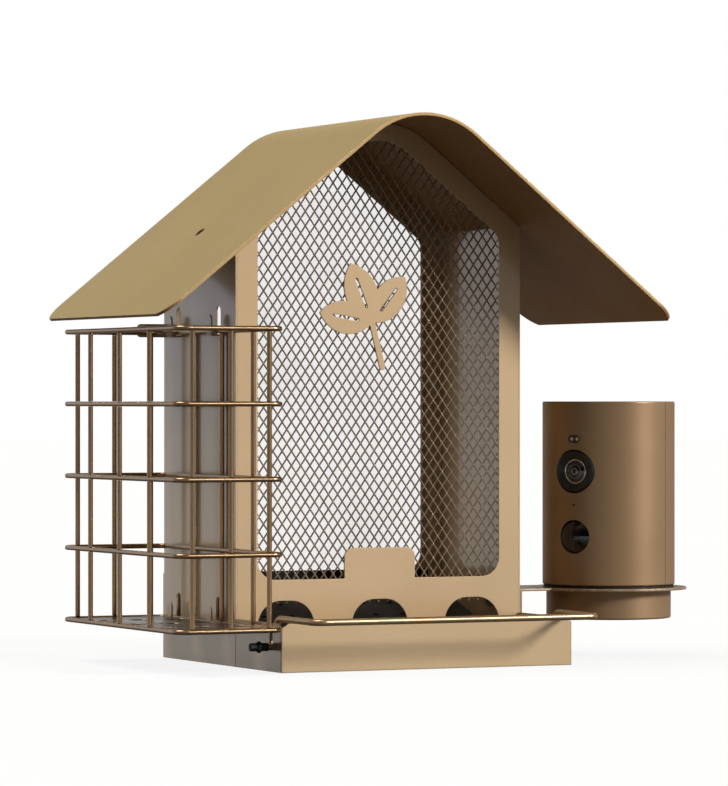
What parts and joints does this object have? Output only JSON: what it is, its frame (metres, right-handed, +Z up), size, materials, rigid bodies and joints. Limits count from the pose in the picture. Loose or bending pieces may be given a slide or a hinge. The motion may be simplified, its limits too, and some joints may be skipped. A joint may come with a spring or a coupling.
{
  "type": "smart bird feeder",
  "caption": "Sheet-steel bird feeder house with a bent roof, mesh window, seed tray, wire perch, wire suet cage and a round swivelling camera beside it.",
  "frame": {"origin": "middle of the house's flat underside", "axes": "+X to the right seen from the front, where the camera stands; +Y to the back; +Z up"},
  "size_m": [0.3063, 0.187, 0.2642],
  "materials": {
    "coated_sheet": "satin bronze powder coat",
    "coated_wire": "satin bronze powder coat",
    "bare_steel": "plain",
    "clear_plastic": "clear",
    "camera_finish": "bronze metallic paint",
    "black_plastic": "moulded",
    "gloss_black": "dark and glossy",
    "black_rubber": "moulded",
    "lens_glass": "coated lens",
    "circuit_board": "solder mask",
    "battery_wrap": "film wrap",
    "metal_parts": "plain",
    "diode_lens": "clear"
  },
  "bodies": {
    "house": {"left_wall": "coated_sheet", "right_wall": "coated_sheet", "front_panel": "coated_sheet", "back_panel": "coated_sheet", "window_mesh": "coated_wire", "rear_window": "clear_plastic", "base_pan": "coated_sheet", "seed_ramp": "black_plastic", "back_skirt": "coated_sheet", "house_rivets": "bare_steel", "ornament_plate": "coated_sheet", "camera_shelf": "coated_sheet", "shelf_screws": "bare_steel", "shelf_nuts": "bare_steel"},
    "roof": {"roof_panel": "coated_sheet", "roof_guide_front": "coated_sheet", "roof_guide_rear": "coated_sheet"},
    "tray": {"seed_tray": "coated_sheet"},
    "perch": {"perch_wire": "coated_wire", "perch_end_sleeves": "black_rubber", "perch_stop_nut": "black_plastic"},
    "cage": {"cage_ring_1": "coated_wire", "cage_ring_2": "coated_wire", "cage_ring_3": "coated_wire", "cage_ring_4": "coated_wire", "cage_ring_5": "coated_wire", "cage_uprights_front": "coated_wire", "cage_uprights_back": "coated_wire", "cage_uprights_outer": "coated_wire", "cage_uprights_inner": "coated_wire", "cage_floor": "coated_sheet"},
    "camera_base": {"camera_base_cup": "camera_finish", "shelf_washer": "black_rubber", "swivel_screw": "bare_steel"},
    "camera_head": {"camera_front_shell": "camera_finish", "camera_rear_shell": "camera_finish", "camera_top_cap": "camera_finish", "camera_floor": "black_plastic", "shell_seals": "black_rubber", "lens_bezel": "black_plastic", "lens_glass": "lens_glass", "lens_barrel": "black_plastic", "image_sensor_board": "circuit_board", "main_board": "circuit_board", "battery_cells": "battery_wrap", "battery_holder": "black_plastic", "motion_dome": "gloss_black", "motion_sensor": "metal_parts", "light_window": "gloss_black", "infrared_diodes": "diode_lens", "microphone": "black_plastic", "speaker": "black_plastic", "antenna": "metal_parts", "camera_screws": "bare_steel", "charging_socket": "metal_parts"},
    "power_button": {"power_button": "black_plastic"},
    "port_cover": {"port_cover": "black_rubber"}
  },
  "joints": [
    {"name": "roof_lift", "type": "slide", "parent": "house", "child": "roof", "axis": [0, 0, 1], "range_m": [0, 0.1]},
    {"name": "tray_pull", "type": "slide", "parent": "house", "child": "tray", "axis": [0, -1, 0], "range_m": [0, 0.06]},
    {"name": "perch_fold", "type": "hinge", "parent": "tray", "child": "perch", "pos_m": [0, -0.0856, 0.0117], "axis": [-1, 0, 0], "range_deg": [0, 125]},
    {"name": "cage_lift", "type": "slide", "parent": "house", "child": "cage", "axis": [0, 0, 1], "range_m": [0, 0.006]},
    {"name": "camera_lift", "type": "slide", "parent": "house", "child": "camera_base", "axis": [0, 0, 1], "range_m": [0, 0.03]},
    {"name": "camera_swivel", "type": "hinge", "parent": "camera_base", "child": "camera_head", "pos_m": [0.1315, -0.034, 0.0357], "axis": [0, 0, 1], "range_deg": [-90, 90]},
    {"name": "button_press", "type": "slide", "parent": "camera_head", "child": "power_button", "axis": [-0.8652, -0.5015, 0], "range_m": [0, 0.001], "stiffness_N_per_m": 800},
    {"name": "port_cover_flip", "type": "hinge", "parent": "camera_head", "child": "port_cover", "pos_m": [0.15918, -0.01795, 0.0515], "axis": [-0.5015, 0.8652, 0], "range_deg": [0, 90]}
  ]
}
